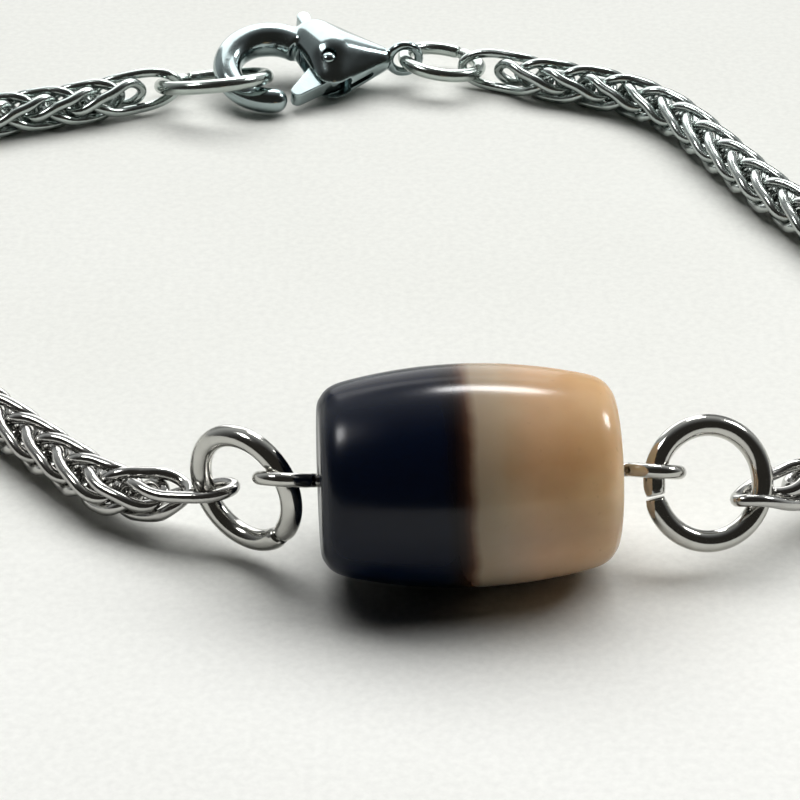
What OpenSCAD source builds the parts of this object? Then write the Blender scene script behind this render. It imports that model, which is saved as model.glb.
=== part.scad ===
// Bracelet with one barrel-shaped dzi bead, laid down as an open loop, clasp fastened.
// The bead lies at the front along X, the clasp at the back, and Z points up.

/* [Bead] */
// Length of the bead along its bore
bead_len = 13.25; // [13:0.05:13.3]
// Diameter of the bead at its belly
bead_dia = 10; // [9:0.1:11]
// Radius of the long curve of the bead's side
bead_arc = 23.5; // [22:0.1:28]
// Radius of the rounding between side and end face
bead_edge = 1.1; // [0.6:0.1:1.3]
// Bore through the bead, for the pin
bead_bore = 0.96; // [0.9:0.02:1.2]
// Turn of the bead on the surface, right end to the back
bead_yaw = 3.6; // [0:0.2:8]

/* [Pin] */
// Wire diameter of the pin
pin_dia = 0.64; // [0.5:0.02:0.66]
// Middle diameter of the eye at each end of the pin
eye_mid_dia = 2.24; // [2.2:0.02:2.3]
// Distance from the pin's middle to the bend of each eye
pin_bend = 7.18; // [7.18:0.01:7.3]
// Roll of the eyes about the pin, near side up
eye_roll = 31.5; // [25:0.5:38]
// Lean of the eyes, left one up and right one down
eye_lean = 6; // [3:0.5:8]

/* [Front rings] */
// Outer diameter of the two rings beside the bead
ring_outer = 6.24; // [6.2:0.02:6.3]
// Wire diameter of these rings
ring_wire = 1; // [0.9:0.02:1.02]
// Width of the cut in every jump ring
ring_cut = 0.15; // [0.1:0.01:0.25]

/* [Clasp end rings] */
// Outer diameter of the ring that the hook holds
hook_ring_outer = 7.05; // [7:0.05:7.1]
// Wire diameter of the ring that the hook holds
hook_ring_wire = 0.82; // [0.78:0.02:0.84]
// Outer diameter of the ring in the clasp's tail eye
tail_ring_outer = 5.3; // [5.2:0.05:5.4]
// Wire diameter of the ring in the clasp's tail eye
tail_ring_wire = 0.78; // [0.7:0.02:0.8]

/* [Chain] */
// Pitch from one link to the next
link_pitch = 1.29; // [1.28:0.005:1.3]
// Length of a link along the chain, to the middle of its wire
link_len = 4.6; // [4.56:0.01:4.62]
// Half width of a link, to the middle of its wire
link_half = 1.07; // [1.04:0.01:1.09]
// Wire diameter of the links
link_wire = 0.44; // [0.38:0.01:0.46]
// Twist of a link between its two ends
link_twist = 102; // [98:0.5:106]

/* [Clasp] */
// Middle radius of the hook
hook_mid = 2.6; // [2.55:0.01:2.65]
// Thickness of the hook
hook_dia = 1.5; // [1.4:0.02:1.54]
// Distance from the hook's middle to the tail eye's middle
clasp_reach = 8; // [7.95:0.05:8.1]
// Thickness of the lever
lever_thick = 0.9; // [0.8:0.02:0.92]
// Height of the slot that the lever turns in
slot_height = 1.1; // [1.04:0.01:1.12]
// Diameter of the lever's pin
hinge_dia = 0.8; // [0.76:0.01:0.82]
// Bore for the lever's pin
hinge_bore = 0.9; // [0.88:0.01:0.92]

/* [Hidden] */
$fn = 48;
eps = 0.01;

steel = [0.60, 0.60, 0.61];
stone = [0.16, 0.16, 0.19];

// The bead's middle stands here, in the frame of the lists below
bead_mid = [0, 0, bead_dia / 2];
bead_slide = -0.125;
// Middle of the whole bracelet's outline on the surface
outline_mid = [-5.93, 24.2];

// Front rings: the direction that each ring's axis points to
ring_left_axis = [-0.594, -0.804, 0];
ring_right_axis = [0.26, -0.82, 0.51];
// Where each front ring's middle lies, seen from the eye that holds it
ring_left_way = [-0.690, 0.510, -0.514];
ring_right_way = [0.943, 0.102, -0.317];

// Clasp: middle of its hook, turn on the surface, dip of its tail, and tilt with the far side up
clasp_at = [-10.75, 49.06, 1.82];
clasp_yaw = 10.5;
clasp_pitch = 0;
clasp_tilt = 20;
// Hook ring: middle, and its turns about X, Y and Z
hook_ring_at = [-14.06, 47.7, 1.684];
hook_ring_turns = [-19.9, -3.5, 5.4];
// Tail ring: middle, and its turns about X, Y and Z
tail_ring_at = [-0.63, 50.75, 1.5];
tail_ring_turns = [-5, 8, 0];
// The tail eye is rolled back to hang nearly upright
tail_eye_roll = -14;
tail_eye_mid = 0.9;
tail_eye_wire = 0.58;
neck_from = 6.4;

// Clasp body: the balls, as middle and radius, that it is drawn round, the tail's last
body_balls = [[2.9, 1.75, 1.6], [3.5, -1.1, 1.3], [3.8, 0.35, 1.8], [6.4, 0.1, 0.85]];
hook_start_angle = 40;
hook_end_angle = 267;
pivot = [3.3, -0.7];
gate_tip = [1.24, -2.36];
gate_dia = 0.84;
hub_radius = 1.05;
nub_angle = 100;
nub_reach = 4.55;
nub_dia = 0.76;

// Routes of the chain's two runs, from the clasp to the bead: x, y, z and roll
left_route = [
    [-16.14, 47.61, 1.57, 58], [-18.4, 46.85, 1.45, 58], [-22.0, 45.55, 1.24, 58],
    [-26.25, 44.05, 1.24, 58], [-30.8, 41.6, 1.24, 54], [-34.2, 37.6, 1.24, 50],
    [-35.6, 32.4, 1.24, 45], [-34.6, 27.0, 1.24, 40], [-31.4, 21.6, 1.24, 35],
    [-27.0, 16.2, 1.24, 30], [-22.5, 10.8, 1.27, 28], [-19.15, 6.75, 1.45, 28],
    [-16.6, 4.0, 1.65, 28], [-13.82, 2.71, 2.18, 28], [-10.69, 1.875, 3.1, 28]];
right_route = [
    [0.59, 50.73, 1.27, 25], [2.9, 50.0, 1.25, 25], [5.7, 48.75, 1.24, 25], [8.6, 47.6, 1.24, 25],
    [11.0, 46.0, 1.24, 25], [13.0, 43.5, 1.24, 27], [15.1, 39.0, 1.24, 27], [17.1, 34.6, 1.24, 27],
    [18.9, 31.3, 1.24, 27], [21.6, 25.3, 1.24, 26], [23.4, 18.9, 1.24, 24], [23.2, 12.9, 1.24, 22],
    [20.7, 7.63, 1.35, 20], [15.3, 2.85, 2.6, 20], [12.16, 0.16, 3.52, 20]];
// The first and the last link reach further than the others, to go round their ring
end_reach = 0.95;
// Turn of their loops, square to the ring's wire: first end, last end
left_turns = [-19.5, 27.2];
right_turns = [39.5, 5];
// Which of the two mirrored links a run starts with, 0 or 1
left_start = 1;
right_start = 0;

/* A smooth curve through a list of points, as a list of closer points */
function curve_at(a, b, c, d, t) =
    (2 * b + (c - a) * t + (2 * a - 5 * b + 4 * c - d) * t * t
        + (3 * b - a - 3 * c + d) * t * t * t) / 2;
function smooth_route(p, steps = 24) = [
    for (i = [0 : len(p) - 2]) for (k = [0 : steps - 1])
        curve_at(p[max(i - 1, 0)], p[i], p[i + 1], p[min(i + 2, len(p) - 1)], k / steps),
    p[len(p) - 1]];
function xyz(p) = [p[0], p[1], p[2]];
function distances(p) = [
    for (i = 0, s = 0; i < len(p);
         s = s + (i < len(p) - 1 ? norm(xyz(p[i + 1]) - xyz(p[i])) : 0), i = i + 1) s];
// One table for each of x, y, z and roll against the distance along the route
function route_tables(p) =
    let (q = smooth_route(p), s = distances(q))
    [for (k = [0 : 3]) [for (i = [0 : len(q) - 1]) [s[i], q[i][k]]]];
function route_length(t) = t[0][len(t[0]) - 1][0];
function place(t, s) = [lookup(s, t[0]), lookup(s, t[1]), lookup(s, t[2])];
function unit(v) = v / norm(v);
function heading(t, s) = unit(place(t, s + 0.3) - place(t, s - 0.3));

/* One link: a long loop, twisted about the chain's axis, its mirror image when odd */
link_steps = 12;
wire_sides = 5;
side_swell = -0.07;
twist_ease = -0.4;
function ease(x) = let (c = min(max(x, 0), 1)) c * c * (3 - 2 * c);
function link_angle(u, odd, ends) =
    let (base = link_twist * (u - 0.5 + twist_ease * sin(720 * u) / (4 * PI)) + 90)
    (odd ? 90 - base : base) + ends[0][0] * ease(1 - 2 * u) + ends[1][0] * ease(2 * u - 1);
// A point of the loop's middle line and the direction square to the loop there
function link_point(t, s0, odd, ends, phi) =
    let (u = (1 - cos(phi)) / 2,
         reach = link_half * sin(phi) * (1 + side_swell * cos(4 * phi)),
         s = s0 + link_len * u - ends[0][1] * ease(1 - 2 * u) + ends[1][1] * ease(2 * u - 1),
         ahead = heading(t, s),
         side = unit(cross(ahead, [0, 0, 1])),
         up = cross(side, ahead),
         a = link_angle(u, odd, ends) + lookup(s, t[3]))
    [place(t, s) + reach * (cos(a) * side + sin(a) * up), cos(a) * up - sin(a) * side];
function link_line(t, s0, odd, ends) = [
    for (j = [0 : link_steps - 1])
        link_point(t, s0, odd, ends, (j + 0.5) * 360 / link_steps)];

// ends holds [turn, extra reach] for the link's two ends
module link(t, s0, odd, ends) {
    line = link_line(t, s0, odd, ends);
    n = link_steps;
    points = [
        for (j = [0 : n - 1])
            let (along = unit(line[(j + 1) % n][0] - line[(j + n - 1) % n][0]),
                 flat = line[j][1],
                 a = unit(flat - (flat * along) * along),
                 b = cross(along, a))
            for (k = [0 : wire_sides - 1])
                line[j][0] + link_wire / 2
                    * (cos(360 * k / wire_sides) * a + sin(360 * k / wire_sides) * b)];
    faces = [
        for (j = [0 : n - 1]) for (k = [0 : wire_sides - 1])
            let (j2 = (j + 1) % n, k2 = (k + 1) % wire_sides,
                 p = j * wire_sides + k, q = j * wire_sides + k2,
                 r = j2 * wire_sides + k2, s = j2 * wire_sides + k)
            each [[p, r, q], [p, s, r]]];
    polyhedron(points, faces, convexity = 6);
}

module chain(route, turns, start) {
    t = route_tables(route);
    span = route_length(t) - link_len - 2 * end_reach;
    // The last link is always the mirrored one
    gaps = 2 * round((span / link_pitch + start - 1) / 2) + 1 - start;
    pitch = span / gaps;
    for (i = [0 : gaps])
        link(t, end_reach + i * pitch, (i + start) % 2 == 1,
             [i == 0 ? [turns[0], end_reach] : [0, 0], i == gaps ? [turns[1], end_reach] : [0, 0]]);
}

/* Rings */
// Puts a shape's Z axis along the direction v
module along(v) {
    u = unit(v);
    rotate([0, acos(u[2]), atan2(u[1], u[0])]) children();
}
// A wire ring with one narrow cut, at the angle seam from X
module wire_ring(outer, wire, seam) {
    mid = (outer - wire) / 2;
    gap = ring_cut / mid * 180 / PI;
    rotate([0, 0, seam + gap / 2])
        rotate_extrude(angle = 360 - gap) translate([mid, 0]) circle(d = wire);
}
module at_rest() translate([-outline_mid[0], -outline_mid[1], 0]) children();
module at_bead() at_rest() translate(bead_mid) rotate([0, 0, bead_yaw]) children();

// The bead: a barrel with rounded rims and a bore for the pin, slid a little to the left on it
module bead() color(stone) at_bead() translate([bead_slide, 0, 0]) rotate([0, 90, 0]) {
    half = bead_len / 2;
    arc_x = bead_dia / 2 - bead_arc;
    rim_y = half - bead_edge;
    rim_x = arc_x + sqrt(pow(bead_arc - bead_edge, 2) - rim_y * rim_y);
    arc_y = rim_y * bead_arc / (bead_arc - bead_edge);
    rotate_extrude() difference() {
        union() {
            intersection() {
                translate([arc_x, 0]) circle(r = bead_arc);
                translate([0, -arc_y]) square([bead_dia, 2 * arc_y]);
            }
            translate([0, -half]) square([rim_x, bead_len]);
            for (side = [-1, 1]) translate([rim_x, side * rim_y]) circle(r = bead_edge);
        }
        translate([-bead_dia, -bead_len]) square([bead_dia + bead_bore / 2, 2 * bead_len]);
    }
}

// The pin through the bead, with a turned eye at each end
module pin_eye() translate([pin_bend, 0, 0]) rotate([0, eye_lean, 0]) rotate([-eye_roll, 0, 0]) {
    sphere(d = pin_dia);
    translate([eye_mid_dia / 2, 0, 0]) {
        rotate([0, 0, 180]) rotate_extrude(angle = 315) translate([eye_mid_dia / 2, 0]) circle(d = pin_dia);
    }
}
module pin_eye_left() translate([-pin_bend, 0, 0]) rotate([0, eye_lean, 0]) rotate([-eye_roll, 0, 0]) {
    sphere(d = pin_dia);
    translate([-eye_mid_dia / 2, 0, 0]) {
        rotate([0, 0, 45]) rotate_extrude(angle = 315) translate([eye_mid_dia / 2, 0]) circle(d = pin_dia);
    }
}
module bead_pin() color(steel) at_bead() {
    rotate([0, 90, 0]) cylinder(d = pin_dia, h = 2 * pin_bend, center = true);
    pin_eye();
    pin_eye_left();
}

// The two rings that join the pin's eyes to the chain
function turned_y(v, a) = [v[0] * cos(a) + v[2] * sin(a), v[1], v[2] * cos(a) - v[0] * sin(a)];
function turned_z(v, a) = [v[0] * cos(a) - v[1] * sin(a), v[0] * sin(a) + v[1] * cos(a), v[2]];
// Middle of the pin's eye on one side, -1 left or 1 right
function eye_mid(side) =
    bead_mid + turned_z(side * [pin_bend, 0, 0] + turned_y([side * eye_mid_dia / 2, 0, 0], eye_lean), bead_yaw);
ring_mid = (ring_outer - ring_wire) / 2;
module ring_left() color(steel) at_rest()
    translate(eye_mid(-1) + ring_mid * unit(ring_left_way)) along(ring_left_axis)
        wire_ring(ring_outer, ring_wire, 50);
module ring_right() color(steel) at_rest()
    translate(eye_mid(1) + ring_mid * unit(ring_right_way)) along(ring_right_axis)
        wire_ring(ring_outer, ring_wire, -86);

// The chain's two runs
module chain_left() color(steel) at_rest() chain(left_route, left_turns, left_start);
module chain_right() color(steel) at_rest() chain(right_route, right_turns, right_start);

// The ring that the hook holds, and the ring in the tail eye
module hook_ring() color(steel) at_rest()
    translate(hook_ring_at) rotate(hook_ring_turns)
        wire_ring(hook_ring_outer, hook_ring_wire, 120);
module tail_ring() color(steel) at_rest()
    translate(tail_ring_at) rotate(tail_ring_turns)
        wire_ring(tail_ring_outer, tail_ring_wire, 60);

// Places a shape in the clasp's own frame: X to the tail, Y to the back
module in_clasp() at_rest() translate(clasp_at)
    rotate([0, clasp_pitch, clasp_yaw]) rotate([clasp_tilt, 0, 0]) children();
// A round bar with round ends, from a to b
module bar(a, b, d) translate(a) along(b - a) rotate_extrude() intersection() {
    translate([0, -d]) square([d, norm(b - a) + 2 * d]);
    union() {
        circle(d = d);
        translate([0, norm(b - a)]) circle(d = d);
        translate([-d / 2, 0]) square([d, norm(b - a)]);
    }
}

module clasp_body() color(steel) in_clasp() difference() {
    union() {
        hull() for (b = body_balls) translate([b[0], b[1], 0]) sphere(r = b[2], $fn = 24);
        // The hook: from inside the body round the far side, over the left and back to its tip
        rotate([0, 0, hook_start_angle]) rotate_extrude(angle = hook_end_angle - hook_start_angle)
            translate([hook_mid, 0]) circle(d = hook_dia);
        rotate([0, 0, hook_end_angle]) translate([hook_mid, 0, 0]) sphere(d = hook_dia + 2 * eps);
        // The neck and the tail eye
        translate([neck_from, 0, 0]) rotate([0, 90, 0])
            cylinder(d1 = 1.3, d2 = 0.5, h = clasp_reach - tail_eye_mid - neck_from);
        translate([clasp_reach, 0, 0]) rotate([tail_eye_roll + 90, 0, 0])
            rotate_extrude() translate([tail_eye_mid, 0]) circle(d = tail_eye_wire);
    }
    // The slot that the lever turns in, open to the hook and to the back
    linear_extrude(slot_height, center = true) polygon([
        [0.8, -3.6], [3.0, -3.6], [4.5, -1.9], [4.6, -0.6], [4.6, 0.56], [6.05, 3.05],
        [6.05, 4.0], [1.95, 4.0], [1.9, 0.9], [0.8, 0.9]]);
    translate([pivot[0], pivot[1], 0]) cylinder(d = hinge_bore, h = 4, center = true);
}

// The pin that the lever turns on
module clasp_pin() color(steel) in_clasp()
    translate([pivot[0], pivot[1], 0]) cylinder(d = hinge_dia, h = 2.6, center = true);

// The lever: gate, hub and thumb nub in one
module clasp_lever() color(steel) in_clasp() difference() {
    hub = [pivot[0], pivot[1], 0];
    union() {
        translate(hub) cylinder(r = hub_radius, h = lever_thick, center = true);
        bar(hub, [gate_tip[0], gate_tip[1], 0], gate_dia);
        bar(hub, hub + nub_reach * [cos(nub_angle), sin(nub_angle), 0], nub_dia);
    }
    translate(hub) cylinder(d = hinge_bore, h = 4, center = true);
}

bead();
bead_pin();
ring_left();
ring_right();
chain_left();
chain_right();
hook_ring();
clasp_body();
clasp_pin();
clasp_lever();
tail_ring();
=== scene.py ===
"""Dzi bead bracelet on a pale surface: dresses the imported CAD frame.

Lengths are in millimetres in the tables and turned into metres where a mesh is made.
The tables are in the bead's frame: its belly touches the surface at the origin.
Sizes and routes are the solids' own, apart from the links' thicker wire and the
clasp's finer shape.
"""
import math

import bmesh
import bpy
import numpy as np
from mathutils import Euler, Matrix, Vector


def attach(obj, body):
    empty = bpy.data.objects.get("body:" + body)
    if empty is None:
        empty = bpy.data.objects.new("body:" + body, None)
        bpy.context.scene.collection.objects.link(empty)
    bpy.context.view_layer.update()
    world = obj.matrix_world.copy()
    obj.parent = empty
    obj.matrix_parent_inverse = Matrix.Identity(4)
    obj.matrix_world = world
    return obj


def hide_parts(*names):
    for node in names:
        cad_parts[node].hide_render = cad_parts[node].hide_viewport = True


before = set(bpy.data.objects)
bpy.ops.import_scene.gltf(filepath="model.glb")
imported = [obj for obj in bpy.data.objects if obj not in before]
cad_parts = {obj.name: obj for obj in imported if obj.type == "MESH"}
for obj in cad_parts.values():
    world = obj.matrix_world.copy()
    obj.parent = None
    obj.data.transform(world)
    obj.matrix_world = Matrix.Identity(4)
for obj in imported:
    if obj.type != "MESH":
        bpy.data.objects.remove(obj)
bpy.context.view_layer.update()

MM = 0.001
OUTLINE_MID = np.array([-5.93, 24.2, 0.0])
UP = np.array([0, 0, 1.0])


def to_row(points):
    """Points in mm of the bead's frame, as metres in the row frame."""
    return (np.asarray(points, float) - OUTLINE_MID) * MM


# ---------------------------------------------------------------- camera

ELEVATION = math.radians(31.5)
CAM_TARGET = to_row([-3.125, 14.567, 0])
CAM_DISTANCE = 148.96 * MM
camera_data = bpy.data.cameras.new("camera")
camera_data.sensor_width = 36
camera_data.lens = 135
camera_data.clip_start = 0.005
camera = bpy.data.objects.new("camera", camera_data)
bpy.context.scene.collection.objects.link(camera)
look = Vector((0, math.cos(ELEVATION), -math.sin(ELEVATION)))
camera.location = Vector(CAM_TARGET) - CAM_DISTANCE * look
camera.rotation_euler = look.to_track_quat("-Z", "Y").to_euler()
bpy.context.scene.camera = camera
bpy.context.scene.view_settings.view_transform = "Standard"

# ---------------------------------------------------------------- node helpers


def node(tree, kind, **values):
    """A new node. Each value is set on the input of that name, or else on the node itself."""
    made = tree.nodes.new(kind)
    for key, value in values.items():
        if key in made.inputs:
            made.inputs[key].default_value = value
        else:
            setattr(made, key, value)
    return made


def coordinates(tree, kind="Object"):
    """The coordinates of a kind, whole and as X, Y and Z."""
    where = node(tree, "ShaderNodeTexCoord").outputs[kind]
    parts = node(tree, "ShaderNodeSeparateXYZ")
    tree.links.new(where, parts.inputs[0])
    return where, parts.outputs["X"], parts.outputs["Y"], parts.outputs["Z"]


def ramp(tree, stops, fac):
    """A colour ramp; stops are (place, colour)."""
    made = tree.nodes.new("ShaderNodeValToRGB")
    elements = made.color_ramp.elements
    while len(elements) > 1:
        elements.remove(elements[-1])
    elements[0].position = stops[0][0]
    elements[0].color = (*stops[0][1], 1)
    for place, colour in stops[1:]:
        new = elements.new(place)
        new.color = (*colour, 1)
    tree.links.new(fac, made.inputs["Fac"])
    return made.outputs["Color"]


def mapped(tree, value, low, high, to_low=0.0, to_high=1.0):
    made = node(tree, "ShaderNodeMapRange")
    tree.links.new(value, made.inputs["Value"])
    made.inputs["From Min"].default_value = low
    made.inputs["From Max"].default_value = high
    made.inputs["To Min"].default_value = to_low
    made.inputs["To Max"].default_value = to_high
    return made.outputs["Result"]


def maths(tree, operation, a, b):
    made = node(tree, "ShaderNodeMath", operation=operation)
    for i, value in enumerate((a, b)):
        if isinstance(value, (int, float)):
            made.inputs[i].default_value = value
        else:
            tree.links.new(value, made.inputs[i])
    return made.outputs[0]


def plus(tree, a, b):
    return maths(tree, "ADD", a, b)


def times(tree, a, b):
    return maths(tree, "MULTIPLY", a, b)


def noise(tree, where, scale, detail=3.0, roughness=0.5):
    made = node(tree, "ShaderNodeTexNoise", Scale=scale, Detail=detail, Roughness=roughness)
    tree.links.new(where, made.inputs["Vector"])
    return made.outputs["Fac"]


def waver(tree, where, scale, detail, reach):
    """Noise about zero; reach is its full width."""
    return times(tree, maths(tree, "SUBTRACT", noise(tree, where, scale, detail), 0.5), reach)


def mix(tree, fac, a, b, blend="MIX"):
    made = node(tree, "ShaderNodeMix", data_type="RGBA", blend_type=blend)
    for i, value in ((0, fac), (6, a), (7, b)):
        if isinstance(value, (int, float)):
            made.inputs[i].default_value = value
        elif isinstance(value, tuple):
            made.inputs[i].default_value = (*value, 1)
        else:
            tree.links.new(value, made.inputs[i])
    return made.outputs[2]


def multiplied(tree, a, b):
    return mix(tree, 1.0, a, b, "MULTIPLY")


def material(name):
    made = bpy.data.materials.new(name)
    made.use_nodes = True
    tree = made.node_tree
    return made, tree, tree.nodes["Principled BSDF"]


def bump(tree, shader, height, distance, strength=1.0):
    made = node(tree, "ShaderNodeBump", Strength=strength, Distance=distance)
    tree.links.new(height, made.inputs["Height"])
    tree.links.new(made.outputs["Normal"], shader.inputs["Normal"])


# ---------------------------------------------------------------- steel

# The steel changes from its near to its far look between these two places, in metres.
# This stands for the cooler, softer light on the far side of the loop in the photo.
NEAR_Y, FAR_Y = -0.015, 0.02
NEAR_TINT, FAR_TINT = (1.0, 0.99, 0.95), (0.90, 1.0, 0.96)
FAR_ROUGHER = 0.07
DULL_PATCH = 0.88


def steel(name, colour, rough_low, rough_high, scratch):
    """Polished stainless steel, with faint draw marks and a little uneven polish."""
    made, tree, shader = material(name)
    where, _, y, _ = coordinates(tree)
    cloud = noise(tree, where, 900, 2)
    fine = noise(tree, where, 9000, 3, 0.6)
    dull = tuple(DULL_PATCH * c for c in colour)
    tint = mix(tree, mapped(tree, cloud, 0.35, 0.7), colour, dull)
    far = mapped(tree, y, NEAR_Y, FAR_Y)
    tint = multiplied(tree, tint, mix(tree, far, NEAR_TINT, FAR_TINT))
    tree.links.new(tint, shader.inputs["Base Color"])
    shader.inputs["Metallic"].default_value = 1.0
    rough = mapped(tree, cloud, 0.3, 0.7, rough_low, rough_high)
    rough = plus(tree, rough, times(tree, far, FAR_ROUGHER))
    tree.links.new(rough, shader.inputs["Roughness"])
    bump(tree, shader, fine, scratch, 0.25)
    return made


wire_steel = steel("wire_steel", (0.50, 0.50, 0.49), 0.08, 0.16, 0.00001)
chain_steel = steel("chain_steel", (0.47, 0.47, 0.47), 0.10, 0.2, 0.00001)
clasp_steel = steel("clasp_steel", (0.38, 0.41, 0.43), 0.05, 0.12, 0.000006)

# ---------------------------------------------------------------- stone

# Colour along the bead, from its left end to its right end, this far from its middle
STONE_REACH = 6.9
STONE_ALONG = [
    (0.0, (0.0014, 0.0045, 0.015)), (0.40, (0.0012, 0.0035, 0.012)),
    (0.437, (0.004, 0.0025, 0.004)), (0.463, (0.018, 0.008, 0.006)),
    (0.482, (0.055, 0.025, 0.014)), (0.497, (0.16, 0.105, 0.07)),
    (0.520, (0.31, 0.25, 0.178)), (0.60, (0.39, 0.32, 0.235)),
    (0.70, (0.48, 0.340, 0.223)), (0.82, (0.52, 0.351, 0.205)),
    (0.92, (0.61, 0.435, 0.26)), (1.0, (0.74, 0.59, 0.42))]
SEAM_WAVE, SEAM_FRAY, SEAM_LEAN = 1.0, 0.25, 0.03
# What the pale half is multiplied by, from its bottom to its top. It was tuned to the
# photo's tones from the camera's side, so a part of it stands for the photo's light.
TONE_REACH = 4.5
TONE_BY_HEIGHT = [
    (0.0, (0.66, 0.65, 0.66)), (0.33, (0.94, 0.89, 0.91)), (0.46, (0.90, 0.86, 0.87)),
    (0.575, (1.0, 0.955, 0.91)), (0.68, (1.17, 1.12, 1.04)), (0.85, (1.0, 0.86, 0.71)),
    (1.0, (1.0, 0.92, 0.82))]
CLOUD_LIGHT, CLOUD_DARK = (1.05, 1.04, 1.02), (0.90, 0.86, 0.80)
SPECK_COLOUR, SPECK_SHARE = (0.26, 0.15, 0.08), 0.22
# The pale half's clouds and specks begin between these two places along the bead
PALE_FROM, PALE_TO = -0.3, 1.5


def stone_colour(tree, where, x_mm, z_mm):
    wave = waver(tree, where, 170, 2, SEAM_WAVE)
    fray = waver(tree, where, 900, 3, SEAM_FRAY)
    lean = times(tree, z_mm, SEAM_LEAN)
    along = plus(tree, plus(tree, x_mm, wave), plus(tree, fray, lean))
    seam = ramp(tree, STONE_ALONG, mapped(tree, along, -STONE_REACH, STONE_REACH))
    height = plus(tree, z_mm, times(tree, wave, 2.0))
    tone = ramp(tree, TONE_BY_HEIGHT, mapped(tree, height, -TONE_REACH, TONE_REACH))
    pale = mapped(tree, x_mm, PALE_FROM, PALE_TO)
    toned = mix(tree, pale, seam, multiplied(tree, seam, tone))
    patches = mapped(tree, noise(tree, where, 330, 4), 0.35, 0.7)
    cloud = mix(tree, patches, CLOUD_LIGHT, CLOUD_DARK)
    toned = mix(tree, pale, toned, multiplied(tree, toned, cloud))
    specks = times(tree, mapped(tree, noise(tree, where, 2300, 2), 0.68, 0.80), pale)
    return mix(tree, times(tree, specks, SPECK_SHARE), toned, SPECK_COLOUR)


def stone_material():
    """Near black on the left, cream and tan on the right, with a thin brown seam between."""
    made, tree, shader = material("dzi_stone")
    where, x, y, z = coordinates(tree)
    x_mm, y_mm, z_mm = (times(tree, v, 1000.0) for v in (x, y, z))
    tree.links.new(stone_colour(tree, where, x_mm, z_mm), shader.inputs["Base Color"])
    # Duller at the left rim, and weaker on the underside and the back, which brings
    # the reflections near the photo's
    tree.links.new(mapped(tree, x_mm, -6.2, -3.5, 0.27, 0.18), shader.inputs["Roughness"])
    polish = times(tree, mapped(tree, z_mm, -0.5, 2.6, 0.13, 0.27),
                   mapped(tree, y_mm, -0.6, 0.35, 1.0, 0.1))
    tree.links.new(polish, shader.inputs["Specular IOR Level"])
    shader.inputs["IOR"].default_value = 1.5
    shader.inputs["Subsurface Weight"].default_value = 0.35
    shader.inputs["Subsurface Radius"].default_value = (1.0, 0.6, 0.35)
    shader.inputs["Subsurface Scale"].default_value = 0.0012
    shader.inputs["Coat Weight"].default_value = 0.04
    shader.inputs["Coat Roughness"].default_value = 0.1
    pits = times(tree, noise(tree, where, 2500, 3), 0.05)
    bump(tree, shader, plus(tree, noise(tree, where, 260, 2), pits), 0.00006, 0.5)
    return made


stone = stone_material()

# ---------------------------------------------------------------- mesh helpers


def linked(name, mesh):
    made = bpy.data.objects.new(name, mesh)
    bpy.context.scene.collection.objects.link(made)
    return made


def mesh_object(name, points, faces, mat, smooth=True):
    """points are metres, in the row frame."""
    mesh = bpy.data.meshes.new(name)
    mesh.from_pydata([tuple(p) for p in points], [], [tuple(int(i) for i in f) for f in faces])
    mesh.update()
    if smooth:
        mesh.polygons.foreach_set("use_smooth", [True] * len(mesh.polygons))
    mesh.materials.append(mat)
    return linked(name, mesh)


def unit(v):
    return v / np.linalg.norm(v, axis=-1, keepdims=True)


def rotation(a, b, c):
    """The turn that OpenSCAD's rotate([a, b, c]) makes, as a 3x3 array."""
    return np.array(Euler([math.radians(v) for v in (a, b, c)], "XYZ").to_matrix())


def along_axis(v):
    """The turn that takes Z to the direction v."""
    v = unit(np.asarray(v, float))
    return rotation(0, math.degrees(math.acos(v[2])), math.degrees(math.atan2(v[1], v[0])))


def tube_mesh(line, radii, sides, across, closed):
    """A tube round a line of points; across is a direction near square to it at each point."""
    line = np.asarray(line, float)
    n = len(line)
    if closed:
        ahead = unit(np.roll(line, -1, 0) - np.roll(line, 1, 0))
    else:
        ahead = unit(np.gradient(line, axis=0))
    across = np.broadcast_to(across, line.shape)
    a = unit(across - (across * ahead).sum(1, keepdims=True) * ahead)
    b = np.cross(ahead, a)
    turn = np.arange(sides) * 2 * math.pi / sides
    radii = np.broadcast_to(radii, (n,))[:, None, None]
    ring = (np.cos(turn)[None, :, None] * a[:, None, :]
            + np.sin(turn)[None, :, None] * b[:, None, :])
    points = (line[:, None, :] + radii * ring).reshape(-1, 3)
    faces = []
    for j in range(n if closed else n - 1):
        j2 = (j + 1) % n
        for k in range(sides):
            k2 = (k + 1) % sides
            faces.append((j * sides + k, j * sides + k2, j2 * sides + k2, j2 * sides + k))
    if not closed:
        faces.append(tuple(range(sides))[::-1])
        faces.append(tuple((n - 1) * sides + k for k in range(sides)))
    return points, faces


def replace(obj, cad_node, body):
    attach(obj, body)
    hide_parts(cad_node)


# ---------------------------------------------------------------- bead

BEAD_LEN, BEAD_DIA, BEAD_ARC, BEAD_EDGE = 13.25, 10.0, 23.5, 1.1
BEAD_BORE, BEAD_YAW, BEAD_SLIDE = 0.96, 3.6, -0.125
# The bore's mouth, as depth and how much wider than the bore
BORE_MOUTH = [(0, 0.22), (0.03, 0.12), (0.10, 0.04), (0.2, 0)]
BEAD_TURNS = 160


def in_bead_place(points):
    """Points in mm of the bead's own frame, as mm of the tables' frame."""
    return np.asarray(points) @ rotation(0, 0, BEAD_YAW).T + [0, 0, BEAD_DIA / 2]


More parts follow.
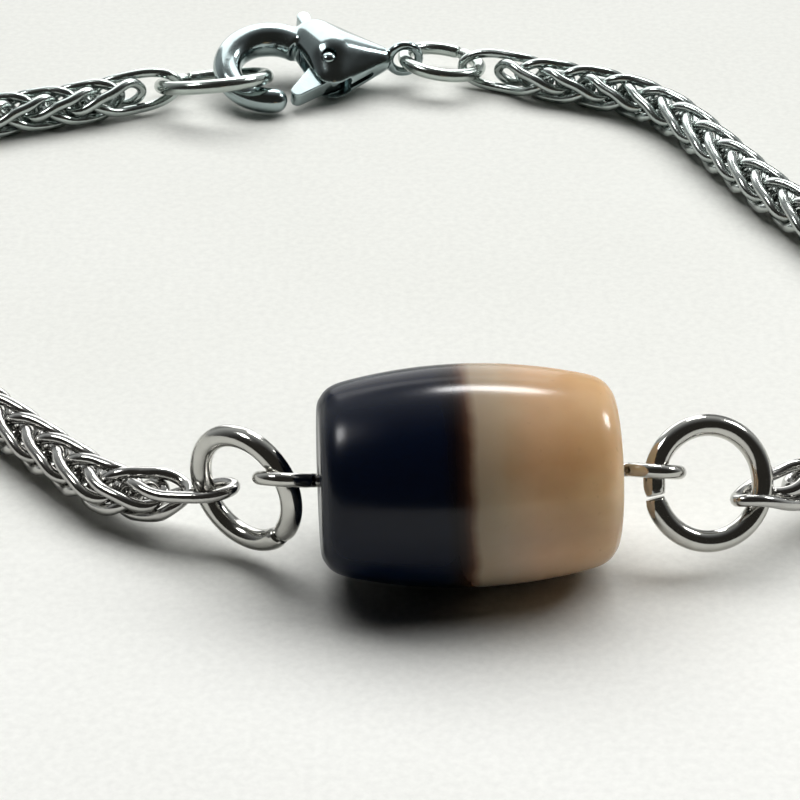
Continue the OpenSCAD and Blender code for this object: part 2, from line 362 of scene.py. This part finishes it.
def eased(profile, reach=0.55, count=60):
    """The profile with its change of curvature spread out along it."""
    p = np.array(profile)
    s = np.concatenate([[0], np.cumsum(np.linalg.norm(np.diff(p, axis=0), axis=1))])
    # Points lie closer together towards the rim
    at = s[-1] * np.linspace(0, 1, count) ** 0.7
    out = []
    for a in at:
        width = min(reach, a, s[-1] - a)
        near = np.linspace(a - width, a + width, 15)
        out.append((np.interp(near, s, p[:, 0]).mean(), np.interp(near, s, p[:, 1]).mean()))
    return out


def bead_profile():
    """The closed outline of half a lengthwise cut, as (place along, radius)."""
    half, bore = BEAD_LEN / 2, BEAD_BORE / 2
    arc_mid = BEAD_DIA / 2 - BEAD_ARC
    rim_x = half - BEAD_EDGE
    rim_r = arc_mid + math.sqrt((BEAD_ARC - BEAD_EDGE) ** 2 - rim_x ** 2)
    join_x = rim_x * BEAD_ARC / (BEAD_ARC - BEAD_EDGE)
    belly = np.linspace(0, join_x, 30)
    right = [(x, arc_mid + math.sqrt(BEAD_ARC ** 2 - x * x)) for x in belly]
    start = math.acos(rim_x / (BEAD_ARC - BEAD_EDGE))
    for t in np.linspace(start, 0, 18)[1:]:
        right.append((rim_x + BEAD_EDGE * math.cos(t), rim_r + BEAD_EDGE * math.sin(t)))
    right = eased(right)
    face_end = bore + BORE_MOUTH[0][1]
    right += [(half, r) for r in np.linspace(rim_r, face_end, 6)[1:]]
    right += [(half - depth, bore + wider) for depth, wider in BORE_MOUTH[1:]]
    right += [(x, bore) for x in np.linspace(half - BORE_MOUTH[-1][0], 0, 5)[1:]]
    return right + [(-x, r) for x, r in right[::-1][1:-1]]


def bead():
    """A lathe-turned barrel with soft rims and a countersunk bore, in the bead's own frame."""
    profile = bead_profile()
    n = len(profile)
    points, faces = [], []
    for k in range(BEAD_TURNS):
        a = 2 * math.pi * k / BEAD_TURNS
        for x, r in profile:
            points.append((x * MM, r * math.cos(a) * MM, r * math.sin(a) * MM))
        k2 = (k + 1) % BEAD_TURNS
        for j in range(n):
            j2 = (j + 1) % n
            faces.append((k * n + j, k2 * n + j, k2 * n + j2, k * n + j2))
    made = mesh_object("bead_stone", points, faces, stone)
    place = to_row(in_bead_place([BEAD_SLIDE, 0, 0]))
    yaw = Matrix.Rotation(math.radians(BEAD_YAW), 4, "Z")
    made.matrix_world = Matrix.Translation(place) @ yaw
    replace(made, "bead", "bracelet")


bead()

# ---------------------------------------------------------------- pin

PIN_DIA, EYE_MID, PIN_BEND, EYE_ROLL, EYE_LEAN = 0.64, 2.24, 7.18, 31.5, 6.0
# How much of the stem and how many points of the eye each bend takes up
BEND_STEM, BEND_SKIP = 0.3, 4
# Share of the radius at the wire's two last points, for a rounded end
PIN_END = np.array([0.7, 0.93])


def eye_line(side, steps=60):
    """The wire's middle line round one eye, from the stem's end, in the bead's own frame."""
    t = np.radians(np.linspace(180, 495, steps))
    r = EYE_MID / 2
    flat = np.stack([r + r * np.cos(t), r * np.sin(t), 0 * t], 1)
    flat[:, 0] *= side
    turned = flat @ rotation(-EYE_ROLL, 0, 0).T @ rotation(0, EYE_LEAN, 0).T
    return turned + [side * PIN_BEND, 0, 0]


def bend(a, corner, b, steps=7):
    """A curve between a and b that leaves out their corner and both end points."""
    t = np.linspace(0, 1, steps)[1:-1, None]
    return (1 - t) ** 2 * a + 2 * t * (1 - t) * corner + t ** 2 * b


def pin():
    """The wire from eye to eye. The bend at each end of the stem has a small radius."""
    left, right = eye_line(-1)[::-1], eye_line(1)
    half_stem, count = PIN_BEND - BEND_STEM, 30
    stem = np.stack([np.linspace(-half_stem, half_stem, count), *np.zeros((2, count))], 1)
    corner = np.array([PIN_BEND, 0, 0])
    line = np.concatenate([
        left[:-BEND_SKIP], bend(left[-BEND_SKIP - 1], -corner, stem[0]), stem,
        bend(stem[-1], corner, right[BEND_SKIP]), right[BEND_SKIP:]])
    radius = PIN_DIA / 2 * np.ones(len(line))
    radius[:2] *= PIN_END
    radius[-2:] *= PIN_END[::-1]
    square = rotation(-EYE_ROLL, 0, 0) @ UP
    points, faces = tube_mesh(line, radius, 20, square, False)
    made = mesh_object("bead_pin_wire", to_row(in_bead_place(points)), faces, wire_steel)
    replace(made, "bead_pin", "bracelet")


pin()

# ---------------------------------------------------------------- rings

RING_CUT = 0.15
# The least share of its radius that the wire keeps at the rims of its cut faces
CUT_RIM = 0.86
# Share of a ring's round over which its last end may drift from the first
DRIFT_SHARE = 0.18
RING_STEPS = 150


def round_ends(count, radius, step):
    """The radii of a wire of count points, drawn in near its two ends."""
    distance = np.minimum(np.arange(count), np.arange(count)[::-1]) * step
    inside = np.clip(distance / radius, 0, 1)
    drawn = radius * (0.72 + 0.28 * np.sqrt(1 - (1 - inside) ** 2))
    return np.maximum(drawn, radius * CUT_RIM)


def ring(name, cad_node, middle, turn, outer, wire, seam, offset=(0.0, 0.0)):
    """A jump ring with a saw cut at the angle seam. offset shifts its last end, in and sideways."""
    mid = (outer - wire) / 2
    gap = math.degrees(RING_CUT / mid)
    t = np.radians(np.linspace(seam + gap / 2, seam + 360 - gap / 2, RING_STEPS))
    round_share = np.linspace(0, 1, RING_STEPS)
    shift = np.clip((round_share - 1 + DRIFT_SHARE) / DRIFT_SHARE, 0, 1) ** 2
    r = mid - offset[0] * shift
    line = np.stack([r * np.cos(t), r * np.sin(t), offset[1] * shift], 1)
    radius = round_ends(RING_STEPS, wire / 2, 2 * math.pi * mid / RING_STEPS)
    points, faces = tube_mesh(line, radius, 28, UP, False)
    made = mesh_object(name, to_row(points @ turn.T + middle), faces, wire_steel)
    replace(made, cad_node, "bracelet")


def eye_middle(side):
    local = rotation(0, EYE_LEAN, 0) @ np.array([side * EYE_MID / 2, 0, 0])
    return in_bead_place(local + [side * PIN_BEND, 0, 0])


RING_OUTER, RING_WIRE = 6.24, 1.0
ring_mid = (RING_OUTER - RING_WIRE) / 2
ring("ring_left_wire", "ring_left",
     eye_middle(-1) + ring_mid * unit(np.array([-0.690, 0.510, -0.514])),
     along_axis([-0.594, -0.804, 0]), RING_OUTER, RING_WIRE, 50, (0.0, 0.05))
ring("ring_right_wire", "ring_right",
     eye_middle(1) + ring_mid * unit(np.array([0.943, 0.102, -0.317])),
     along_axis([0.26, -0.82, 0.51]), RING_OUTER, RING_WIRE, -86, (0.06, 0.04))
ring("hook_ring_wire", "hook_ring", [-14.06, 47.7, 1.684],
     rotation(-19.9, -3.5, 5.4), 7.05, 0.82, 120)
ring("tail_ring_wire", "tail_ring", [-0.63, 50.75, 1.5], rotation(-5, 8, 0), 5.3, 0.78, 60)

# ---------------------------------------------------------------- chain

LINK_PITCH, LINK_LEN, LINK_HALF, LINK_TWIST = 1.29, 4.6, 1.07, 102.0
SIDE_SWELL, TWIST_EASE, END_REACH = -0.07, -0.4, 0.95
# Thicker than the solids' wire, which stays clear of its neighbours
LINK_WIRE = 0.57
LINK_STEPS, LINK_SIDES = 52, 12
# Largest loose turn of a link, in degrees, either way
LINK_SLACK = 1.2
# The same routes as the solids': x, y, z and roll
LEFT_ROUTE = [
    (-16.14, 47.61, 1.57, 58), (-18.4, 46.85, 1.45, 58), (-22.0, 45.55, 1.24, 58),
    (-26.25, 44.05, 1.24, 58), (-30.8, 41.6, 1.24, 54), (-34.2, 37.6, 1.24, 50),
    (-35.6, 32.4, 1.24, 45), (-34.6, 27.0, 1.24, 40), (-31.4, 21.6, 1.24, 35),
    (-27.0, 16.2, 1.24, 30), (-22.5, 10.8, 1.27, 28), (-19.15, 6.75, 1.45, 28),
    (-16.6, 4.0, 1.65, 28), (-13.82, 2.71, 2.18, 28), (-10.69, 1.875, 3.1, 28)]
RIGHT_ROUTE = [
    (0.59, 50.73, 1.27, 25), (2.9, 50.0, 1.25, 25), (5.7, 48.75, 1.24, 25),
    (8.6, 47.6, 1.24, 25), (11.0, 46.0, 1.24, 25), (13.0, 43.5, 1.24, 27),
    (15.1, 39.0, 1.24, 27), (17.1, 34.6, 1.24, 27), (18.9, 31.3, 1.24, 27),
    (21.6, 25.3, 1.24, 26), (23.4, 18.9, 1.24, 24), (23.2, 12.9, 1.24, 22),
    (20.7, 7.63, 1.35, 20), (15.3, 2.85, 2.6, 20), (12.16, 0.16, 3.52, 20)]


class Route:
    """A smooth curve through given points, looked up by distance along it."""

    def __init__(self, table, steps=24):
        p = np.array(table, float)
        rows = []
        for i in range(len(p) - 1):
            a, b, c, d = p[max(i - 1, 0)], p[i], p[i + 1], p[min(i + 2, len(p) - 1)]
            for k in range(steps):
                t = k / steps
                rows.append((2 * b + (c - a) * t + (2 * a - 5 * b + 4 * c - d) * t * t
                             + (3 * b - a - 3 * c + d) * t ** 3) / 2)
        rows.append(p[-1])
        self.rows = np.array(rows)
        hops = np.linalg.norm(np.diff(self.rows[:, :3], axis=0), axis=1)
        self.s = np.concatenate([[0], np.cumsum(hops)])
        self.length = self.s[-1]

    def place(self, s):
        return np.stack([np.interp(s, self.s, self.rows[:, k]) for k in range(3)], 1)

    def roll(self, s):
        return np.interp(s, self.s, self.rows[:, 3])

    def ahead(self, s):
        return unit(self.place(s + 0.3) - self.place(s - 0.3))


def ease(x):
    x = np.clip(x, 0, 1)
    return x * x * (3 - 2 * x)


def link(route, s0, odd, ends, slack):
    """One twisted loop of wire. ends holds (turn, extra reach) for its two ends."""
    phi = (np.arange(LINK_STEPS) + 0.5) * 2 * math.pi / LINK_STEPS
    u = (1 - np.cos(phi)) / 2
    first, last = ease(1 - 2 * u), ease(2 * u - 1)
    reach = LINK_HALF * np.sin(phi) * (1 + SIDE_SWELL * np.cos(4 * phi))
    eased_u = u - 0.5 + TWIST_EASE * np.sin(4 * math.pi * u) / (4 * math.pi)
    angle = LINK_TWIST * eased_u + 90
    if odd:
        angle = 90 - angle
    angle = angle + ends[0][0] * first + ends[1][0] * last
    s = s0 + LINK_LEN * u - ends[0][1] * first + ends[1][1] * last
    ahead = route.ahead(s)
    side = unit(np.cross(ahead, UP))
    up = np.cross(side, ahead)
    a = np.radians(angle + route.roll(s) + slack)
    cos, sin = np.cos(a)[:, None], np.sin(a)[:, None]
    line = route.place(s) + reach[:, None] * (cos * side + sin * up)
    return tube_mesh(line, LINK_WIRE / 2, LINK_SIDES, cos * up - sin * side, True)


def chain(name, cad_node, table, turns, start):
    """A run of links. turns are the end links' turns, start says which way the first one twists."""
    route = Route(table)
    span = route.length - LINK_LEN - 2 * END_REACH
    gaps = 2 * round((span / LINK_PITCH + start - 1) / 2) + 1 - start
    pitch = span / gaps
    points, faces = [], []
    count = 0
    random = np.random.default_rng(7)
    for i in range(gaps + 1):
        ends = [(turns[0], END_REACH) if i == 0 else (0, 0),
                (turns[1], END_REACH) if i == gaps else (0, 0)]
        slack = random.uniform(-LINK_SLACK, LINK_SLACK)
        p, f = link(route, END_REACH + i * pitch, (i + start) % 2 == 1, ends, slack)
        points.append(p)
        faces += [tuple(count + v for v in face) for face in f]
        count += len(p)
    made = mesh_object(name, to_row(np.concatenate(points)), faces, chain_steel)
    replace(made, cad_node, "bracelet")


chain("chain_left_links", "chain_left", LEFT_ROUTE, (-19.5, 27.2), 1)
chain("chain_right_links", "chain_right", RIGHT_ROUTE, (39.5, 5), 0)

# ---------------------------------------------------------------- clasp

CLASP_AT = np.array([-10.75, 49.06, 1.82])
CLASP_TURN = rotation(0, 0, 10.5) @ rotation(20, 0, 0)
CLASP_REACH = 8.0
LEVER_THICK, SLOT_HEIGHT, HINGE_BORE = 0.9, 1.1, 0.9
# The balls that the body is drawn round, as x, y and radius, the tail's last
BODY_BALLS = [(2.9, 1.8, 1.5), (3.5, -1.12, 1.25), (3.75, 0.35, 1.86), (4.9, 0.2, 1.42),
              (6.4, 0.1, 0.85)]
# The hook along its bend: angle, middle radius and wire radius
HOOK = np.array([(40, 2.5, 1.0), (90, 2.47, 1.03), (130, 2.52, 0.97), (165, 2.58, 0.87),
                 (200, 2.6, 0.81), (235, 2.6, 0.77), (267, 2.6, 0.74)])
NECK_Y, NECK_START_RADIUS, NECK_END_RADIUS = 0.05, 0.68, 0.29
TAIL_EYE_ROLL, TAIL_EYE_MID, TAIL_EYE_WIRE = -14, 0.9, 0.58
# The slot's outline, and that of the thin gap between the cheeks along the near side
SLOT = [(0.8, -3.6), (3.0, -3.6), (4.5, -1.9), (4.6, -0.6), (4.6, 0.56),
        (6.05, 3.05), (6.05, 4.0), (1.95, 4.0), (1.9, 0.9), (0.8, 0.9)]
GAP, GAP_HEIGHT = [(4.2, -3.0), (5.9, -1.6), (6.0, -0.35), (4.2, -0.9)], 0.34
PIVOT = np.array([3.3, -0.7, 0])
RIVET_RADIUS, RIVET_DOME_RADIUS, RIVET_HALF, RIVET_DOME = 0.4, 0.41, 1.32, 0.24
GATE_TIP = np.array([1.24, -2.36, 0])
GATE_DIA, HUB_RADIUS, NUB_ANGLE, NUB_REACH, NUB_DIA = 0.84, 1.05, 100, 4.55, 0.76
# Longer than the body and the lever are thick
BORE_LENGTH = 4
TURNS = 48
CREASE = math.radians(35)


def clasp_frame(points):
    return to_row(np.asarray(points) @ CLASP_TURN.T + CLASP_AT)


def ball(bm, middle, radius):
    made = bmesh.ops.create_uvsphere(bm, u_segments=32, v_segments=20, radius=radius,
                                     matrix=Matrix.Translation(Vector(middle)))
    return made["verts"]


def add_hull(bm, verts):
    """Closes a skin round the points and drops those that lie inside it."""
    result = bmesh.ops.convex_hull(bm, input=verts)
    inner = [v for v in result["geom_interior"] if isinstance(v, bmesh.types.BMVert)]
    bmesh.ops.delete(bm, geom=inner, context="VERTS")


def add_tube(bm, line, radii, sides=28, across=UP, closed=False):
    points, faces = tube_mesh(line, radii, sides, across, closed)
    verts = [bm.verts.new(p) for p in points]
    for face in faces:
        bm.faces.new([verts[i] for i in face])


def temporary(bm, name):
    mesh = bpy.data.meshes.new(name)
    bmesh.ops.recalc_face_normals(bm, faces=bm.faces)
    bm.to_mesh(mesh)
    bm.free()
    return linked(name, mesh)


def applied(obj):
    """The object's mesh with its modifiers, as a new mesh, and the object removed."""
    graph = bpy.context.evaluated_depsgraph_get()
    mesh = bpy.data.meshes.new_from_object(obj.evaluated_get(graph))
    bpy.data.objects.remove(obj)
    return mesh


def blend(obj, voxel, passes):
    """Joins overlapping shapes into one skin and softens where they meet. Works in mm."""
    remesh = obj.modifiers.new("remesh", "REMESH")
    remesh.mode = "VOXEL"
    remesh.voxel_size = voxel
    soften = obj.modifiers.new("soften", "SMOOTH")
    soften.factor = 0.5
    soften.iterations = passes


def cut(obj, cutter):
    carve = obj.modifiers.new("carve", "BOOLEAN")
    carve.operation = "DIFFERENCE"
    carve.solver = "EXACT"
    carve.object = cutter


def prism(outline, height, name):
    bm = bmesh.new()
    low = [bm.verts.new((x, y, -height / 2)) for x, y in outline]
    high = [bm.verts.new((x, y, height / 2)) for x, y in outline]
    bm.faces.new(low[::-1])
    bm.faces.new(high)
    for i in range(len(outline)):
        j = (i + 1) % len(outline)
        bm.faces.new((low[i], low[j], high[j], high[i]))
    return temporary(bm, name)


def hinge_bore():
    """The cutter for the lever's pin, through the body or the lever."""
    bm = bmesh.new()
    bmesh.ops.create_cone(bm, cap_ends=True, segments=TURNS, depth=BORE_LENGTH,
                          radius1=HINGE_BORE / 2, radius2=HINGE_BORE / 2,
                          matrix=Matrix.Translation(Vector(PIVOT)))
    return temporary(bm, "bore")


def clasp_piece(name, mesh, cad_node, body):
    """Makes a mesh in mm of the clasp's frame a piece of the bracelet."""
    flat = np.empty(len(mesh.vertices) * 3)
    mesh.vertices.foreach_get("co", flat)
    mesh.vertices.foreach_set("co", clasp_frame(flat.reshape(-1, 3)).ravel())
    mesh.polygons.foreach_set("use_smooth", [True] * len(mesh.polygons))
    mesh.set_sharp_from_angle(angle=CREASE)
    mesh.update()
    mesh.materials.clear()
    mesh.materials.append(clasp_steel)
    mesh.name = name
    replace(linked(name, mesh), cad_node, body)


def add_hook(bm):
    angles = np.linspace(HOOK[0, 0], HOOK[-1, 0], 80)
    middle = np.interp(angles, HOOK[:, 0], HOOK[:, 1])[:, None]
    thick = np.interp(angles, HOOK[:, 0], HOOK[:, 2])
    t = np.radians(angles)
    line = middle * np.stack([np.cos(t), np.sin(t), 0 * t], 1)
    add_tube(bm, line, thick)
    ball(bm, line[-1], thick[-1])


def add_neck_and_eye(bm):
    start, end, steps = BODY_BALLS[-1][0], CLASP_REACH - TAIL_EYE_MID, 12
    neck = np.stack([np.linspace(start, end, steps), np.full(steps, NECK_Y), np.zeros(steps)], 1)
    add_tube(bm, neck, np.linspace(NECK_START_RADIUS, NECK_END_RADIUS, steps))
    turn = rotation(TAIL_EYE_ROLL + 90, 0, 0)
    t = np.radians(np.linspace(0, 360, 61))[:-1]
    circle = TAIL_EYE_MID * np.stack([np.cos(t), np.sin(t), 0 * t], 1)
    add_tube(bm, circle @ turn.T + [CLASP_REACH, 0, 0], TAIL_EYE_WIRE / 2, 20, turn @ UP, True)


def clasp_body():
    """Body, hook, neck and tail eye in one skin, then the slot, the gap and the bore."""
    bm = bmesh.new()
    verts = []
    for x, y, r in BODY_BALLS:
        verts += ball(bm, (x, y, 0), r)
    add_hull(bm, verts)
    add_hook(bm)
    add_neck_and_eye(bm)
    body = temporary(bm, "body")
    blend(body, 0.085, 14)
    tools = [prism(SLOT, SLOT_HEIGHT, "slot"), prism(GAP, GAP_HEIGHT, "gap"), hinge_bore()]
    for tool in tools[:2]:
        cut(body, tool)
    # The second blend softens the slot's edges; the bore's stay crisp
    blend(body, 0.06, 3)
    cut(body, tools[2])
    mesh = applied(body)
    for tool in tools:
        bpy.data.objects.remove(tool)
    clasp_piece("clasp_shell", mesh, "clasp_body", "bracelet")


def clasp_pin():
    """A rivet with a domed head at both ends, drawn a little slimmer than its bore."""
    bm = bmesh.new()
    side = [(r, RIVET_HALF + RIVET_DOME * math.sqrt(max(0.0, 1 - (r / RIVET_DOME_RADIUS) ** 2)))
            for r in np.linspace(0.05, RIVET_RADIUS, 9)]
    rows = [(r, -z) for r, z in side] + side[::-1]
    t = [2 * math.pi * k / TURNS for k in range(TURNS)]
    verts = [[bm.verts.new((PIVOT[0] + r * math.cos(a), PIVOT[1] + r * math.sin(a), z))
              for a in t] for r, z in rows]
    for a, b in zip(verts, verts[1:]):
        for k in range(TURNS):
            bm.faces.new((a[k], a[(k + 1) % TURNS], b[(k + 1) % TURNS], b[k]))
    bm.faces.new(verts[0][::-1])
    bm.faces.new(verts[-1])
    clasp_piece("clasp_rivet", applied(temporary(bm, "pin")), "clasp_pin", "bracelet")


def plate(bm, a, ra, b, rb, thick):
    """A flat plate round two circles, from a to b."""
    verts = []
    for z in (-thick / 2, thick / 2):
        for middle, radius in ((a, ra), (b, rb)):
            for t in np.linspace(0, 2 * math.pi, 33)[:-1]:
                verts.append(bm.verts.new((middle[0] + radius * math.cos(t),
                                           middle[1] + radius * math.sin(t), z)))
    add_hull(bm, verts)


def clasp_lever():
    """The gate narrows from the hub to its tip, and the thumb nub widens again at its end."""
    bm = bmesh.new()
    way = np.array([math.cos(math.radians(NUB_ANGLE)), math.sin(math.radians(NUB_ANGLE)), 0])
    stalk, nub_radius = 0.33, NUB_DIA / 2 + 0.03
    plate(bm, PIVOT, HUB_RADIUS, PIVOT, HUB_RADIUS - 0.02, LEVER_THICK)
    plate(bm, PIVOT, 0.98, GATE_TIP, GATE_DIA / 2, LEVER_THICK)
    plate(bm, PIVOT, 0.6, PIVOT + (NUB_REACH - 0.5) * way, stalk, LEVER_THICK - 0.1)
    plate(bm, PIVOT + (NUB_REACH - 0.8) * way, stalk, PIVOT + NUB_REACH * way, nub_radius,
          LEVER_THICK - 0.04)
    lever = temporary(bm, "lever")
    blend(lever, 0.05, 4)
    bore = hinge_bore()
    cut(lever, bore)
    mesh = applied(lever)
    bpy.data.objects.remove(bore)
    clasp_piece("clasp_trigger", mesh, "clasp_lever", "lever")


clasp_body()
clasp_pin()
clasp_lever()

# ---------------------------------------------------------------- surface, light and room

# What the floor's colour is multiplied by, from the near side to the far side. It stands
# for the photo's light, which falls off towards the back.
FLOOR_SPAN = 0.045
FLOOR_AWAY = [(0.0, (1.0, 1.0, 1.01)), (0.15, (1.0, 1.0, 1.01)), (0.32, (0.91, 0.912, 0.91)),
              (0.6, (0.87, 0.873, 0.87)), (1.0, (0.80, 0.803, 0.80))]
FLOOR_DARK, FLOOR_LIGHT = (0.915, 0.920, 0.872), (0.94, 0.945, 0.90)
FLOOR_GRAIN = (0.92, 0.92, 0.92)
# The room's colour by the Y of a direction: the first for all that points further to the
# front than ROOM_FRONT, the last for straight back
ROOM_FRONT, ROOM_BACK = -0.3, 1.0
ROOM = [(0.0, (0.036, 0.034, 0.030)), (0.10, (0.06, 0.06, 0.06)), (0.25, (0.14, 0.14, 0.14)),
        (0.42, (0.28, 0.29, 0.29)), (0.6, (0.50, 0.51, 0.51)), (0.72, (0.60, 0.62, 0.62)),
        (0.85, (0.38, 0.39, 0.39)), (1.0, (0.10, 0.10, 0.10))]
LOOP_FRONT = Vector(to_row([0, 12.2, 3]))
CLASP_MIDDLE = Vector(to_row([-7, 49, 2]))


def floor():
    paper, tree, shader = material("pale_paper")
    where, _, y, _ = coordinates(tree)
    mottle = noise(tree, where, 60, 4)
    grain = noise(tree, where, 2600, 3, 0.6)
    colour = mix(tree, mapped(tree, mottle, 0.35, 0.65), FLOOR_DARK, FLOOR_LIGHT)
    colour = mix(tree, mapped(tree, grain, 0.3, 0.7), colour, multiplied(tree, colour, FLOOR_GRAIN))
    away = ramp(tree, FLOOR_AWAY, mapped(tree, y, -FLOOR_SPAN, FLOOR_SPAN))
    tree.links.new(multiplied(tree, colour, away), shader.inputs["Base Color"])
    shader.inputs["Roughness"].default_value = 0.8
    shader.inputs["Specular IOR Level"].default_value = 0.08
    bump(tree, shader, grain, 0.00002, 0.3)
    half = 1.5
    corners = [(-half, -half, 0), (half, -half, 0), (half, half, 0), (-half, half, 0)]
    made = mesh_object("surface", corners, [(0, 1, 2, 3)], paper, False)


def room():
    """A dim room that only shows as reflections."""
    world = bpy.data.worlds.new("room")
    bpy.context.scene.world = world
    world.use_nodes = True
    tree = world.node_tree
    _, _, y, _ = coordinates(tree, "Generated")
    background = tree.nodes["Background"]
    colour = ramp(tree, ROOM, mapped(tree, y, ROOM_FRONT, ROOM_BACK))
    tree.links.new(colour, background.inputs["Color"])
    background.inputs["Strength"].default_value = 1.0
    world.cycles_visibility.diffuse = False


def area_light(name, middle, azimuth, elevation, distance, size, power, shades):
    """A light that faces middle. Azimuth 0 is behind it, 90 to its right.

    It either lights what is matt and casts the shadows, or only shows as a reflection.
    """
    data = bpy.data.lights.new(name, "AREA")
    data.shape = "RECTANGLE"
    data.size, data.size_y = size
    data.energy = power
    made = linked(name, data)
    a, e = math.radians(azimuth), math.radians(elevation)
    away = Vector((math.sin(a) * math.cos(e), math.cos(a) * math.cos(e), math.sin(e)))
    made.location = middle + distance * away
    made.rotation_euler = (-away).to_track_quat("-Z", "Y").to_euler()
    made.visible_diffuse = shades
    made.visible_glossy = not shades
    made.visible_camera = False


floor()
room()
area_light("ceiling", LOOP_FRONT, 18, 66, 0.5, (1.0, 0.42), 5.0, True)
area_light("key", LOOP_FRONT, 9, 49, 0.5, (0.15, 0.06), 0.85, False)
area_light("right", LOOP_FRONT, 66, 38, 0.45, (0.10, 0.10), 0.9, False)
area_light("left", LOOP_FRONT, -90, 56, 0.45, (0.11, 0.11), 0.7, False)
# This one stands close behind the clasp
area_light("far", CLASP_MIDDLE, -5, 35, 0.045, (0.06, 0.06), 0.028, False)
